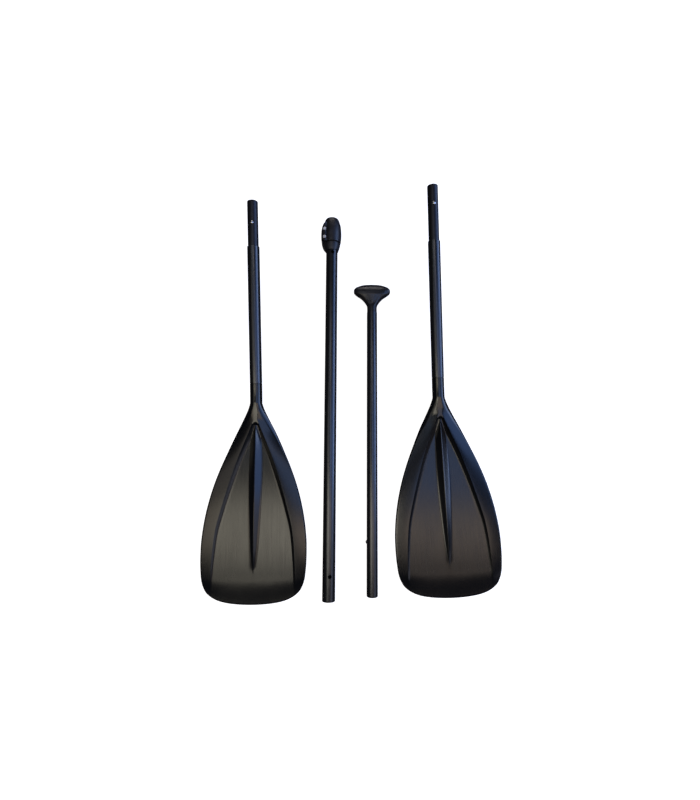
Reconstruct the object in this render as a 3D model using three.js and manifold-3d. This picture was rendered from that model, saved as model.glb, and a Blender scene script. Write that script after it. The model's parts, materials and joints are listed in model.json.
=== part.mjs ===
// A four-piece convertible paddle, taken apart and laid out on the floor: two blade sections, a middle
// section with a lever clamp, and a T-grip section. With both blades it makes a kayak paddle; with one blade
// and the T-grip it makes a stand-up paddle.
//
// Units are millimetres, +Z up, floor at z = 0. Every section is modelled with its shaft along its own +Y.
import * as THREE from "three";
import { mergeVertices } from "three/addons/utils/BufferGeometryUtils.js";
import Module from "manifold-3d";

const wasm = await Module();
wasm.setup();

// ---------------------------------------------------------------- driving dimensions

const TUBE_R = 13; // outer tubes: both blade shafts and the middle tube
const TUBE_BORE_R = 11.5;
const INNER_R = 11.3; // whatever slides inside an outer tube: ferrules and the T-grip's tube
const INNER_BORE_R = 10;
const FIT = 0.2; // radial gap of glued and plugged pieces
const GAP = 0.3; // gap between pieces that meet end to end, or that turn on each other
const ROUND = 36; // facets round a tube

const BLADE_LENGTH = 411.5; // tip to the start of the socket
const BLADE_CANT = THREE.MathUtils.degToRad(12); // shaft rising from the flat blade
const BEND_LENGTH = 60; // the neck bends over this length, half before the socket and half in it
const SOCKET_LENGTH = 42.5;
const SPIGOT_LENGTH = 50;
const RIM_THICKNESS = 3; // at the tip
const STEP_AT = 335.5; // from the socket's start to the end of the blade tube
const FERRULE_INSIDE = 60; // length of ferrule hidden in the blade tube

const BUTTON_R = 3.7;
const BUTTON_HOLE_R = 4;
const BUTTON_FOOT = 7.6; // heights above the tube's axis
const BUTTON_CROWN = 13.5;
const BUTTON_DOME = 2;
const CAP_THICKNESS = 3;
const PLUG_DEPTH = 22; // how far an end cap's spigot goes in
const FLOAT_LENGTH = 25;
const FLOAT_AT = 200; // up a blade tube

const MIDDLE_TUBE_LENGTH = 770;
const LOW_HOLE_AT = 48.2; // takes the left section's button
const HIGH_HOLE_AT = 747.5; // takes the right section's button
const HOLE_ROLL = THREE.MathUtils.degToRad(11); // both holes sit this far round to the right
const COLLAR_BOTTOM = 754;
const COLLAR_TOP = 832.6;
const COLLAR_R = 19;
const SKIRT_TOP = 771; // the relief slot starts here
const POCKET = [773, 819.6]; // span of the collar that the lever wraps
const POCKET_R = 17.3;
const SEAT_AT = 824.5; // floor of the recess that a blade tube's end seats in
const SEAT_R = 13.3;
const OVAL_POWER = 2.5;
const EAR_OVAL = [24.7, 40.4, 792]; // half-width, half-height and middle of the ears' outline
const EAR_DEPTH = [-8.8, 6];
const SPLIT = 2; // gap between the collar's two ears
const LEVER_R = 21.6; // crown of the lever's outer face
const LEVER_CROWN = 1.9; // how much less the radius is at the lever's ends
const LEVER_WRAP = [-16, 148]; // degrees round the tube from the right, over the front
const PIVOT = { x: -16.4, z: 12.5 }; // the lever's barrel, parallel to the tube
const BARREL_R = 4;
const BARREL_FLAT = 2.8; // height of the flat under a bolt head, above the barrel's axis
const BARREL_SPAN = [777.5, 812];
const KNUCKLE_R = 6.3;
const KNUCKLE_OVAL = [24.7, 38, 785]; // outline that the knuckles are trimmed to
const BOLT_R = 2; // M4
const BOLT_HEAD_R = 3.4;
const BOLT_HEAD_HEIGHT = 3.2;
const BOLT_SOCKET_R = 1.7;
const BOLTS_AT = { lower: 782.5, upper: 802.3 };
const NUT_R = 4.04; // across the corners
const NUT_THICKNESS = 3.2;
const NUT_POCKET_TOP = -5.1;

const GRIP_AT = 601; // from the T-grip tube's foot to its mouth
const GRIP_BAR_AT = 41; // the bar's thickest place, above the mouth
const GRIP_BAR_HALF_DEPTH = 14;
const GRIP_SPIGOT = 30;
const GRIP_BUTTON_AT = 106;
const GRIP_FLOAT_AT = 400;

// Where each section lies: its reference point on the floor, and its shaft's lean to the left in degrees.
const LEFT_BLADE = {
  name: "left",
  x: -202.9,
  y: -7.2,
  lean: 0.75,
  buttonFromStep: LOW_HOLE_AT,
  endFromButton: 48.3,
};
const RIGHT_BLADE = {
  name: "right",
  x: 192.1,
  y: 5.8,
  lean: 2.03,
  buttonFromStep: SEAT_AT - HIGH_HOLE_AT,
  endFromButton: 41.5,
};
const MIDDLE = { x: -42.8, y: -407.9, lean: -0.08 };
const HANDLE = { x: 44.55, y: -400.8, lean: -0.47 };

// ---------------------------------------------------------------- materials

const material = (color, roughness, metalness) =>
  new THREE.MeshStandardMaterial({ color, roughness, metalness });
const BLADE_PLASTIC = material(0x1c1d20, 0.42, 0);
const CLAMP_PLASTIC = material(0x17181b, 0.55, 0);
const GRIP_PLASTIC = material(0x191819, 0.35, 0);
const PLUG_PLASTIC = material(0x141517, 0.6, 0);
const ANODISED = material(0x11141c, 0.3, 0.8);
const MATT_ANODISED = material(0x14161b, 0.5, 0.6);
const STEEL = material(0xc9cbce, 0.25, 1);
const SPRING_STEEL = material(0x8d9196, 0.35, 1);
const FOAM = material(0xd9d6cc, 0.9, 0);

// ---------------------------------------------------------------- solids

/** A closed three.js geometry as a manifold-3d solid. */
function solid(geometry) {
  const plain = (geometry.index ? geometry.toNonIndexed() : geometry.clone())
    .deleteAttribute("normal")
    .deleteAttribute("uv");
  const merged = mergeVertices(plain, 1e-4);
  return new wasm.Manifold(
    new wasm.Mesh({
      numProp: 3,
      vertProperties: merged.attributes.position.array,
      triVerts: new Uint32Array(merged.index.array),
    }),
  );
}

/** A manifold-3d solid back as a three.js geometry. */
function geometryOf(body) {
  const mesh = body.getMesh();
  return new THREE.BufferGeometry()
    .setAttribute("position", new THREE.BufferAttribute(mesh.vertProperties, 3))
    .setIndex(new THREE.BufferAttribute(mesh.triVerts, 1));
}

/** A named mesh of a geometry or of a solid. */
function piece(name, shape, finish) {
  const geometry = shape.isBufferGeometry ? shape : geometryOf(shape);
  const mesh = new THREE.Mesh(geometry, finish);
  mesh.name = name;
  return mesh;
}

/** Revolves [radius, height] corners round Y. The corners run up the outside. */
function turned(corners, facets = ROUND) {
  const points = corners.map(([r, y]) => new THREE.Vector2(r, y));
  return new THREE.LatheGeometry(points, facets);
}

/** A pipe round Y from y0 to y1. */
function pipe(outer, bore, y0, y1) {
  return turned([
    [bore, y0],
    [outer, y0],
    [outer, y1],
    [bore, y1],
    [bore, y0],
  ]);
}

/** A solid cylinder round Y from y0 to y1. */
function rod(radius, y0, y1, facets = ROUND) {
  return new THREE.CylinderGeometry(radius, radius, y1 - y0, facets).translate(0, (y0 + y1) / 2, 0);
}

/** A solid cylinder along Z through (x, y), from z0 to z1. */
function pin(radius, x, y, z0, z1, facets = 24) {
  return rod(radius, z0, z1, facets)
    .rotateX(Math.PI / 2)
    .translate(x, y, 0);
}

function block(x0, x1, y0, y1, z0, z1) {
  return new THREE.BoxGeometry(x1 - x0, y1 - y0, z1 - z0).translate(
    (x0 + x1) / 2,
    (y0 + y1) / 2,
    (z0 + z1) / 2,
  );
}

/** Skins a row of closed loops that all have the same even number of points, with both ends zipped shut. */
function skin(loops) {
  const count = loops[0].length;
  const position = loops.flat().flatMap((p) => [p.x, p.y, p.z]);
  const faces = [];
  for (let k = 0; k + 1 < loops.length; k++) {
    for (let i = 0; i < count; i++) {
      const a = k * count + i;
      const b = k * count + ((i + 1) % count);
      faces.push(a, b, b + count, a, b + count, a + count);
    }
  }
  const last = (loops.length - 1) * count;
  for (let i = 0; i + 1 < count / 2; i++) {
    const j = count - 1 - i;
    faces.push(i, j, j - 1, i, j - 1, i + 1);
    faces.push(last + i, last + j - 1, last + j, last + i, last + i + 1, last + j - 1);
  }
  return new THREE.BufferGeometry()
    .setAttribute("position", new THREE.Float32BufferAttribute(position, 3))
    .setIndex(faces);
}

/** Straight-line reading of a table of [position, value] pairs. */
function along(table, at) {
  const next = table.findIndex(([s]) => s >= at);
  if (next <= 0) return table[next === 0 ? 0 : table.length - 1][1];
  const [s0, v0] = table[next - 1];
  const [s1, v1] = table[next];
  return v0 + ((v1 - v0) * (at - s0)) / (s1 - s0);
}

const mix = (a, b, t) => a + (b - a) * t;

// ---------------------------------------------------------------- blade

// Profiles along the blade, by distance from the tip.
const HALF_WIDTH = [
  [24, 94],
  [34, 100.6],
  [47, 105.2],
  [66, 107.8],
  [86, 109.2],
  [112, 109.5],
  [145, 107.4],
  [185, 101.4],
  [227, 91.2],
  [268, 77.3],
  [310, 59.7],
  [332, 50],
  [354, 39.5],
  [366, 33.2],
  [377, 27.7],
  [390, 21.2],
  [399, 17.2],
  [BLADE_LENGTH, TUBE_R],
];
const PANEL_HALF_WIDTH = [
  [0, 86],
  [33, 86],
  [91, 84.5],
  [148, 79],
  [172, 73.5],
  [235, 56],
  [293, 37],
  [349, 14],
  [369, 6],
];
const SPINE_HALF_WIDTH = [
  [0, 0.8],
  [63, 0.8],
  [83, 3.6],
  [115, 6.3],
  [147, 8.3],
  [208, 11.6],
  [270, 13.1],
  [333, 10.8],
  [369, 4],
];
const SPINE_HEIGHT = [
  [0, 3.4],
  [63, 4.6],
  [83, 6.4],
  [115, 8.6],
  [147, 10.1],
  [208, 12.6],
  [270, 14.2],
  [333, 15],
  [369, 14],
];
const PANEL_HEIGHT = [
  [0, 3.2],
  [60, 4.5],
  [200, 5],
  [303, 5.3],
  [348, 6.8],
  [369, 9.5],
];
const STEP_HEIGHT = [
  [0, 0.3],
  [40, 1.4],
  [110, 3.2],
  [200, 4.8],
  [303, 7],
  [348, 8.6],
  [369, 9.3],
];
const RIM_HEIGHT = [
  [0, RIM_THICKNESS],
  [60, 4.6],
  [110, 5.4],
  [200, 6],
  [303, 5.8],
  [355, 7.4],
  [383, 10],
  [BLADE_LENGTH, TUBE_R],
];
const TIP_BOW = 12; // how far a gentle curve sets the tip's corners back
const TIP_CORNER = 12; // and how far their rounding does
const TIP_REACH = 85; // the tip's curve is felt this far up the blade
const NECK_START = 335; // from here the section turns into a round one
const STATIONS = [
  ...[0, 12, 26, 42, 60, 85, 115, 147, 184, 225, 267, 310],
  ...[NECK_START, 353, 366, 378, 388, 396, 404, BLADE_LENGTH],
];
const NECK_RINGS = [10, 20, 30, SOCKET_LENGTH]; // past the socket's start
const CREASE_TOP = 0.4; // the step down to the panel starts here, outside the crease
const CREASE_FOOT = 6; // and ends here, inside it
const LOOP_ANGLE = 1.46; // half the arc that each face of a round loop spans

/** How far the tip's curve is still felt at a station: 1 at the tip, 0 from its reach on. */
const tipShare = (s) => Math.max(0, 1 - s / TIP_REACH) ** 1.6;

/** How far back the tip lies at a share of the half-width. */
const tipCurve = (u) => TIP_BOW * u ** 2 + TIP_CORNER * u ** 6;

/** The thirteen [across, height] points of the blade's upper face at one station. */
function upperFace(s, halfWidth) {
  const crease = Math.min(along(PANEL_HALF_WIDTH, s), halfWidth * 0.86);
  const spine = Math.min(along(SPINE_HALF_WIDTH, s), crease * 0.7);
  const panel = along(PANEL_HEIGHT, s);
  const band = panel + along(STEP_HEIGHT, s);
  const rim = along(RIM_HEIGHT, s);
  const top = Math.min(crease + CREASE_TOP, halfWidth * 0.9);
  const foot = Math.max(crease - CREASE_FOOT, crease * 0.75);
  const right = [
    [spine, panel],
    [(spine + foot) / 2, panel],
    [foot, panel],
    [top, band],
    [mix(top, halfWidth, 0.55), mix(band, rim, 0.4)],
    [halfWidth, rim],
  ];
  const left = right.map(([x, z]) => [-x, z]).reverse();
  return [...left, [0, along(SPINE_HEIGHT, s)], ...right];
}

/** The straight blade bent up by the cant at its neck. */
function bend(x, y, z) {
  const radius = BEND_LENGTH / BLADE_CANT;
  const start = -BEND_LENGTH / 2;
  if (y <= start) return new THREE.Vector3(x, y, z);
  const angle = Math.min(BLADE_CANT, (y - start) / radius);
  const beyond = Math.max(0, y - start - BEND_LENGTH);
  const arm = radius - (z - TUBE_R);
  return new THREE.Vector3(
    x,
    start + arm * Math.sin(angle) + beyond * Math.cos(angle),
    TUBE_R + radius - arm * Math.cos(angle) + beyond * Math.sin(angle),
  );
}

/** A round loop with the same point order as a blade loop. */
function roundLoop(radius, y) {
  const point = (angle) => bend(radius * Math.sin(angle), y, TUBE_R + radius * Math.cos(angle));
  const spread = Array.from({ length: 13 }, (_, j) => ((j - 6) / 6) * LOOP_ANGLE);
  const upper = spread.map((angle) => point(angle));
  const lower = spread.map((angle) => point(Math.PI + angle));
  return [...upper, ...lower];
}

/** One closed loop round the blade: its upper face from left to right, then its flat underside back. */
function bladeLoop(s) {
  const share = tipShare(s);
  const halfWidth = along(HALF_WIDTH, s + tipCurve(1) * share);
  const neck = THREE.MathUtils.smoothstep(s, NECK_START, BLADE_LENGTH);
  const spread = (j) => Math.sin(((j - 6) / 6) * LOOP_ANGLE);
  const at = (x) => s + tipCurve(Math.abs(x / halfWidth)) * share - BLADE_LENGTH;
  const face = upperFace(s, halfWidth);
  const upper = face.map(([x, z], j) => {
    const across = mix(x, halfWidth * spread(j), neck);
    const dome = TUBE_R + TUBE_R * Math.sqrt(1 - spread(j) ** 2);
    return bend(across, at(across), mix(z, dome, neck));
  });
  const lower = face.map(([x], j) => {
    const across = mix(x, halfWidth * spread(j), neck);
    const bowl = TUBE_R - TUBE_R * Math.sqrt(1 - spread(j) ** 2);
    return bend(across, at(across), neck * bowl);
  });
  return [...upper, ...lower.reverse()];
}

/** The moulded blade: paddle face, bent neck, socket and the spigot that plugs into the tube. */
function blade() {
  const loops = STATIONS.map(bladeLoop);
  for (const y of NECK_RINGS) loops.push(roundLoop(TUBE_R, y));
  loops.push(roundLoop(TUBE_BORE_R - FIT, SOCKET_LENGTH));
  loops.push(roundLoop(TUBE_BORE_R - FIT, SOCKET_LENGTH + SPIGOT_LENGTH));
  return skin(loops);
}

// ---------------------------------------------------------------- snap button

/** Sprung pin, its domed head up +Z, its flanged foot resting on the spring's free leg. */
function snapButton() {
  const [flangeR, flangeTop] = [BUTTON_R + 0.9, BUTTON_FOOT + 0.8];
  const dome = [0, 30, 60, 90].map((degrees) => {
    const angle = THREE.MathUtils.degToRad(degrees);
    return [BUTTON_R * Math.cos(angle), BUTTON_CROWN - BUTTON_DOME * (1 - Math.sin(angle))];
  });
  dome[3][0] = 0;
  const foot = [
    [0, BUTTON_FOOT],
    [flangeR, BUTTON_FOOT],
    [flangeR, flangeTop],
    [BUTTON_R, flangeTop],
  ];
  return turned([...foot, ...dome], 24).rotateX(Math.PI / 2);
}

/** V of flat spring steel lying along +Y, its bend behind the button and its legs pressing up and down. */
function buttonSpring() {
  const [width, thickness, bendAt, tipAt] = [8, 0.8, -38, 6];
  const [top, bottom] = [BUTTON_FOOT - GAP, -8.8];
  const outline = new THREE.Shape(
    [
      [bendAt, -1.4 * thickness],
      [tipAt, bottom],
      [tipAt, bottom + thickness],
      [bendAt + 1.8 * thickness, -thickness / 2],
      [bendAt + 1.8 * thickness, thickness / 2],
      [tipAt, top - thickness],
      [tipAt, top],
      [bendAt, 1.4 * thickness],
    ].map(([y, z]) => new THREE.Vector2(y, z)),
  );
  const strip = new THREE.ExtrudeGeometry(outline, { depth: width, bevelEnabled: false });
  const turn = new THREE.Matrix4().makeBasis(
    new THREE.Vector3(0, 1, 0),
    new THREE.Vector3(0, 0, 1),
    new THREE.Vector3(1, 0, 0),
  );
  return strip.translate(0, 0, -width / 2).applyMatrix4(turn);
}

/** The button and its spring, at a place along a tube, turned round the tube by roll. */
function buttonSet(prefix, at, roll) {
  const set = new THREE.Group();
  set.add(piece(`${prefix}_button`, snapButton(), STEEL));
  set.add(piece(`${prefix}_button_spring`, buttonSpring(), SPRING_STEEL));
  set.position.y = at;
  set.rotation.y = roll;
  return set;
}

/** A pipe with round holes drilled through its upper wall. */
function drilledPipe(outer, bore, y0, y1, holes, roll = 0) {
  const drill = (at) => solid(pin(BUTTON_HOLE_R, 0, 0, 0, outer + 1).rotateY(roll).translate(0, at, 0));
  return holes.reduce((body, at) => body.subtract(drill(at)), solid(pipe(outer, bore, y0, y1)));
}

/** Plug that closes a small tube: chamfered head outside, spigot inside. Its head faces +Y. */
function endCap(mouth) {
  const chamfer = 1.4;
  return turned([
    [0, mouth - PLUG_DEPTH],
    [INNER_BORE_R - FIT, mouth - PLUG_DEPTH],
    [INNER_BORE_R - FIT, mouth + FIT],
    [INNER_R, mouth + FIT],
    [INNER_R, mouth + CAP_THICKNESS - chamfer],
    [INNER_R - chamfer, mouth + CAP_THICKNESS],
    [0, mouth + CAP_THICKNESS],
  ]);
}

// ---------------------------------------------------------------- sections

/** Blade, blade tube, ferrule with its cap and snap button, and the foam float in the tube. */
function bladeSection({ name, x, y, lean, buttonFromStep, endFromButton }) {
  const button = STEP_AT + buttonFromStep;
  const mouth = button + endFromButton - CAP_THICKNESS;
  const shaft = new THREE.Group();
  const tube = pipe(TUBE_R, TUBE_BORE_R, SOCKET_LENGTH + GAP, STEP_AT);
  const ferrule = drilledPipe(INNER_R, INNER_BORE_R, STEP_AT - FERRULE_INSIDE, mouth, [button]);
  shaft.add(piece(`${name}_blade_tube`, tube, ANODISED));
  shaft.add(piece(`${name}_ferrule`, ferrule, MATT_ANODISED));
  shaft.add(piece(`${name}_ferrule_cap`, endCap(mouth), PLUG_PLASTIC));
  shaft.add(piece(`${name}_foam_float`, rod(TUBE_BORE_R - FIT, FLOAT_AT, FLOAT_AT + FLOAT_LENGTH), FOAM));
  shaft.add(buttonSet(name, button, 0));
  shaft.position.copy(bend(0, BEND_LENGTH / 2, TUBE_R));
  shaft.rotation.x = BLADE_CANT;
  shaft.translateY(-BEND_LENGTH / 2); // so that lengths along the shaft count from the socket's start

  const section = new THREE.Group();
  section.add(piece(`${name}_blade`, blade(), BLADE_PLASTIC), shaft);
  section.position.set(x, y, 0);
  section.rotation.z = THREE.MathUtils.degToRad(lean);
  return section;
}

/** A slab with a full oval outline seen from the front, between two depths. */
function ovalSlab([halfWidth, halfHeight, middle], [back, front]) {
  const corners = 40;
  const oval = (v) => Math.sign(v) * Math.abs(v) ** (2 / OVAL_POWER);
  const points = Array.from({ length: corners }, (_, i) => {
    const angle = (i / corners) * 2 * Math.PI;
    return new THREE.Vector2(halfWidth * oval(Math.cos(angle)), middle + halfHeight * oval(Math.sin(angle)));
  });
  const slab = { depth: front - back, bevelEnabled: false };
  return new THREE.ExtrudeGeometry(new THREE.Shape(points), slab).translate(0, 0, back);
}

/** Clamp collar: a skirt fixed on the middle tube, and above the relief slot a split ring with two ears. */
function clampCollar() {
  const tubeEnd = SKIRT_TOP - 0.7;
  const body = solid(
    turned([
      [TUBE_R + GAP, COLLAR_BOTTOM],
      [14.2, COLLAR_BOTTOM],
      [15.6, 757.5],
      [16.9, 761.5],
      [18.1, 766],
      [COLLAR_R, SKIRT_TOP],
      [COLLAR_R, POCKET[0]],
      [POCKET_R, POCKET[0]],
      [POCKET_R, POCKET[1]],
      [COLLAR_R, POCKET[1]],
      [18.3, 823],
      [17.3, 827],
      [16.1, 830.5],
      [15, COLLAR_TOP],
      [SEAT_R, COLLAR_TOP],
      [SEAT_R, SEAT_AT],
      [TUBE_BORE_R, SEAT_AT],
      [TUBE_BORE_R, tubeEnd],
      [TUBE_R + GAP, tubeEnd],
      [TUBE_R + GAP, COLLAR_BOTTOM],
    ]),
  );
  const [left, under, over] = [-40, 700, 900]; // anywhere clear of the collar
  const earSpace = solid(block(left, -8, COLLAR_BOTTOM, COLLAR_TOP, left, -left));
  const ears = earSpace.intersect(solid(ovalSlab(EAR_OVAL, EAR_DEPTH)));
  const cuts = [
    solid(rod(TUBE_BORE_R, under, over)),
    solid(rod(TUBE_R + GAP, under, tubeEnd)),
    solid(rod(SEAT_R, SEAT_AT, over)),
    solid(block(left, -left, SKIRT_TOP, POCKET[0], -8, -left)),
    solid(block(left, -5, SKIRT_TOP, over, -SPLIT / 2, SPLIT / 2)),
    solid(rod(KNUCKLE_R + 0.5, ...POCKET).translate(PIVOT.x, 0, PIVOT.z)),
  ];
  for (const at of Object.values(BOLTS_AT)) {
    cuts.push(solid(pin(BOLT_R + 0.25, PIVOT.x, at, left, -left)));
    cuts.push(solid(pin(NUT_R + GAP, PIVOT.x, at, left, NUT_POCKET_TOP, 6)));
  }
  return cuts.reduce((collar, cut) => collar.subtract(cut), body.add(ears));
}

/** Sector of a disc in the X-Z plane, extruded along Y, between two angles measured from +X towards +Z. */
function wedge(from, to, radius, y0, y1) {
  const rays = 12;
  const corners = Array.from({ length: rays + 1 }, (_, i) => {
    const angle = THREE.MathUtils.degToRad(mix(from, to, i / rays));
    return new THREE.Vector2(radius * Math.cos(angle), -radius * Math.sin(angle));
  });
  const sector = new THREE.Shape([new THREE.Vector2(0, 0), ...corners]);
  return new THREE.ExtrudeGeometry(sector, { depth: y1 - y0, bevelEnabled: false })
    .rotateX(-Math.PI / 2)
    .translate(0, y0, 0);
}

/** Lever: a crowned shell round the collar's front and right, with three knuckles on the pivot barrel. */
function clampLever() {
  const [low, high] = [POCKET[0] + GAP, POCKET[1] - GAP];
  const middle = (low + high) / 2;
  const inner = POCKET_R + GAP;
  const [under, over] = [low - 20, high + 20];
  const crown = [0, 0.25, 0.5, 0.75, 1].map((t) => {
    const y = mix(low, high, t);
    return [LEVER_R - LEVER_CROWN * ((y - middle) / (high - middle)) ** 2, y];
  });
  const ring = solid(turned([[inner, low], ...crown, [inner, high], [inner, low]], 64));
  const shell = ring.intersect(solid(wedge(...LEVER_WRAP, 2 * LEVER_R, under, over)));
  const collarSpace = solid(rod(inner, under, over)).intersect(solid(block(-12, 40, under, over, -40, 40)));
  const knuckle = solid(rod(KNUCKLE_R, low, high).translate(PIVOT.x, 0, PIVOT.z))
    .intersect(solid(ovalSlab(KNUCKLE_OVAL, [0, 40])))
    .subtract(collarSpace);
  const barrelHole = solid(rod(BARREL_R + 0.15, under, over).translate(PIVOT.x, 0, PIVOT.z));
  let lever = shell.add(knuckle).subtract(barrelHole);
  for (const at of Object.values(BOLTS_AT)) {
    const room = BOLT_HEAD_R + 0.6;
    lever = lever.subtract(solid(rod(KNUCKLE_R + 1.2, at - room, at + room).translate(PIVOT.x, 0, PIVOT.z)));
  }
  return lever;
}

/** Barrel the lever turns on: cross-drilled for both bolts, with a flat under each head. */
function pivotBarrel() {
  const flatTo = BOLT_HEAD_R + 0.4;
  let barrel = solid(rod(BARREL_R, ...BARREL_SPAN, 32).translate(PIVOT.x, 0, PIVOT.z));
  for (const at of Object.values(BOLTS_AT)) {
    barrel = barrel.subtract(solid(pin(BOLT_R + FIT, PIVOT.x, at, 0, 30)));
    barrel = barrel.subtract(solid(block(-30, 0, at - flatTo, at + flatTo, PIVOT.z + BARREL_FLAT, 40)));
  }
  return barrel;
}

/** Socket-head bolt that pulls the barrel towards the nut behind the ears. */
function clampBolt(at) {
  const seat = PIVOT.z + BARREL_FLAT + FIT;
  const top = seat + BOLT_HEAD_HEIGHT;
  const head = solid(pin(BOLT_HEAD_R, PIVOT.x, at, seat, top));
  const shank = solid(pin(BOLT_R, PIVOT.x, at, NUT_POCKET_TOP - 4.2, seat + 1));
  const socket = solid(pin(BOLT_SOCKET_R, PIVOT.x, at, top - 1.8, top + 1, 6));
  return head.add(shank).subtract(socket);
}

function clampNut(at) {
  const top = NUT_POCKET_TOP - GAP;
  const body = solid(pin(NUT_R, PIVOT.x, at, top - NUT_THICKNESS, top, 6));
  return body.subtract(solid(pin(BOLT_R + FIT, PIVOT.x, at, top - 10, top + 10)));
}

/** Middle tube with the lever clamp at its upper end. */
function middleSection() {
  const section = new THREE.Group();
  const holes = [LOW_HOLE_AT, HIGH_HOLE_AT];
  const tube = drilledPipe(TUBE_R, TUBE_BORE_R, 0, MIDDLE_TUBE_LENGTH, holes, HOLE_ROLL);
  section.add(piece("middle_tube", tube, ANODISED));
  section.add(piece("clamp_collar", clampCollar(), CLAMP_PLASTIC));
  section.add(piece("clamp_lever", clampLever(), CLAMP_PLASTIC));
  section.add(piece("clamp_pivot_barrel", pivotBarrel(), STEEL));
  for (const [side, at] of Object.entries(BOLTS_AT)) {
    section.add(piece(`clamp_bolt_${side}`, clampBolt(at), STEEL));
    section.add(piece(`clamp_nut_${side}`, clampNut(at), STEEL));
  }
  const rise = COLLAR_R - TUBE_R; // the collar rests on the floor, and so does the tube's lower end
  section.position.set(MIDDLE.x, MIDDLE.y, TUBE_R);
  section.rotation.set(Math.asin(rise / SKIRT_TOP), 0, THREE.MathUtils.degToRad(MIDDLE.lean), "ZYX");
  return section;
}

// T-grip by distance above the tube's mouth: half-width across, and half-thickness front to back.
const GRIP_RINGS = [
  [GAP, 10.8, 10.8],
  [12, 11, 10.8],
  [17, 12.3, 11.1],
  [22, 15.2, 11.5],
  [27, 18.8, 12.1],
  [32, 23.5, 12.8],
  [36, 28.6, 13.4],
  [GRIP_BAR_AT, 36.2, GRIP_BAR_HALF_DEPTH],
  [46, 40.5, 13.9],
  [51, 41.3, 13],
  [55, 40, 11.6],
  [59, 36.4, 9.7],
  [62, 30.5, 7.5],
  [65, 21, 4.5],
  [66.8, 10, 2],
];

/** Palm grip: a rounded bar flaring from a round neck, with a spigot that plugs into the tube. */
function tGrip() {
  const loop = ([y, across, deep]) =>
    Array.from({ length: ROUND }, (_, i) => {
      const angle = Math.PI - ((i + 0.5) / ROUND) * 2 * Math.PI;
      return new THREE.Vector3(across * Math.cos(angle), GRIP_AT + y, deep * Math.sin(angle));
    });
  const plug = INNER_BORE_R - FIT;
  return skin([[-GRIP_SPIGOT, plug, plug], [GAP, plug, plug], ...GRIP_RINGS].map(loop));
}

/** T-grip, its tube, and the plug and snap button at the tube's foot. */
function handleSection() {
  const section = new THREE.Group();
  const roll = -Math.PI / 2; // the button faces left
  const foot = CAP_THICKNESS;
  const tube = drilledPipe(INNER_R, INNER_BORE_R, foot, GRIP_AT, [GRIP_BUTTON_AT], roll);
  const plug = endCap(0).rotateX(Math.PI).translate(0, foot, 0);
  section.add(piece("handle_tube", tube, ANODISED));
  section.add(piece("t_grip", tGrip(), GRIP_PLASTIC));
  section.add(piece("handle_foot_plug", plug, PLUG_PLASTIC));
  const float = rod(INNER_BORE_R - FIT, GRIP_FLOAT_AT, GRIP_FLOAT_AT + FLOAT_LENGTH);
  section.add(piece("handle_foam_float", float, FOAM));
  section.add(buttonSet("handle", GRIP_BUTTON_AT, roll));
  const rise = GRIP_BAR_HALF_DEPTH - INNER_R; // the bar rests on the floor, and so does the tube's foot
  const pitch = Math.asin(rise / (GRIP_AT + GRIP_BAR_AT));
  section.position.set(HANDLE.x, HANDLE.y, INNER_R);
  section.rotation.set(pitch, 0, THREE.MathUtils.degToRad(HANDLE.lean), "ZYX");
  return section;
}

// ---------------------------------------------------------------- the whole paddle

const paddle = new THREE.Group();
paddle.add(bladeSection(LEFT_BLADE), middleSection(), handleSection(), bladeSection(RIGHT_BLADE));

// The origin is the middle of the layout's box, at its lowest level.
const box = new THREE.Box3().setFromObject(paddle, true);
const middle = box.getCenter(new THREE.Vector3());
paddle.position.set(-middle.x, -middle.y, -box.min.z);

export default paddle;
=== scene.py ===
"""Looks for a four-piece convertible paddle, laid out in its four sections on a pale floor.

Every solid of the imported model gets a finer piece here, apart from the springs and foam floats hidden in the
tubes. A piece is built in its section's own frame: +Y runs up the shaft and +Z faces up. Shape functions work
in millimetres, and a piece's mesh is scaled to metres.
"""
import json
import math

import bmesh
import bpy
import numpy as np
from mathutils import Matrix, Vector

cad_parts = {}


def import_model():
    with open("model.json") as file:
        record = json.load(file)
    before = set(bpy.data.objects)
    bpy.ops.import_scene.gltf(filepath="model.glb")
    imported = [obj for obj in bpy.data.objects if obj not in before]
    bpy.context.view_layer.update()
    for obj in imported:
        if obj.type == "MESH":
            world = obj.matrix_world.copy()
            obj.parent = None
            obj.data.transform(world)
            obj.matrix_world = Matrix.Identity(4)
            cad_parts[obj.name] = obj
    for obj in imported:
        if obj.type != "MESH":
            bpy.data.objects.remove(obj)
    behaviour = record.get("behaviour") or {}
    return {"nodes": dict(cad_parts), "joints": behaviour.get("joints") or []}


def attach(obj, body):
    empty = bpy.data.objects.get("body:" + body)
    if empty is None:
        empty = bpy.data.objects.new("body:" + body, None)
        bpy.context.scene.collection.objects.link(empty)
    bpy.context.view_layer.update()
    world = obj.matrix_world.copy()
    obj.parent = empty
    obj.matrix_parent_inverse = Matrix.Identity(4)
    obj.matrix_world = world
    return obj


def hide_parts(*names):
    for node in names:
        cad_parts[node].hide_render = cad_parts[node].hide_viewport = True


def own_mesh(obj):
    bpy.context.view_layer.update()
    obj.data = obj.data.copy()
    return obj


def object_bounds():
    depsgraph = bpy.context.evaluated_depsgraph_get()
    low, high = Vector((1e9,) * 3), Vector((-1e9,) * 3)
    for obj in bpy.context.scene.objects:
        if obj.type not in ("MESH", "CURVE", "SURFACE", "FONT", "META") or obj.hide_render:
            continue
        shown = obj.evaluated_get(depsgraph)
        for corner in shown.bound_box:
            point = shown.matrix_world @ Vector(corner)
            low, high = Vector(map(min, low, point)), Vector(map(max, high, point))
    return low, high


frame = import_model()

CAD_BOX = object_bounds()
MM = 0.001
UP = Vector((0, 0, 1))
JOINTS = {joint["name"]: joint for joint in frame["joints"]}

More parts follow.
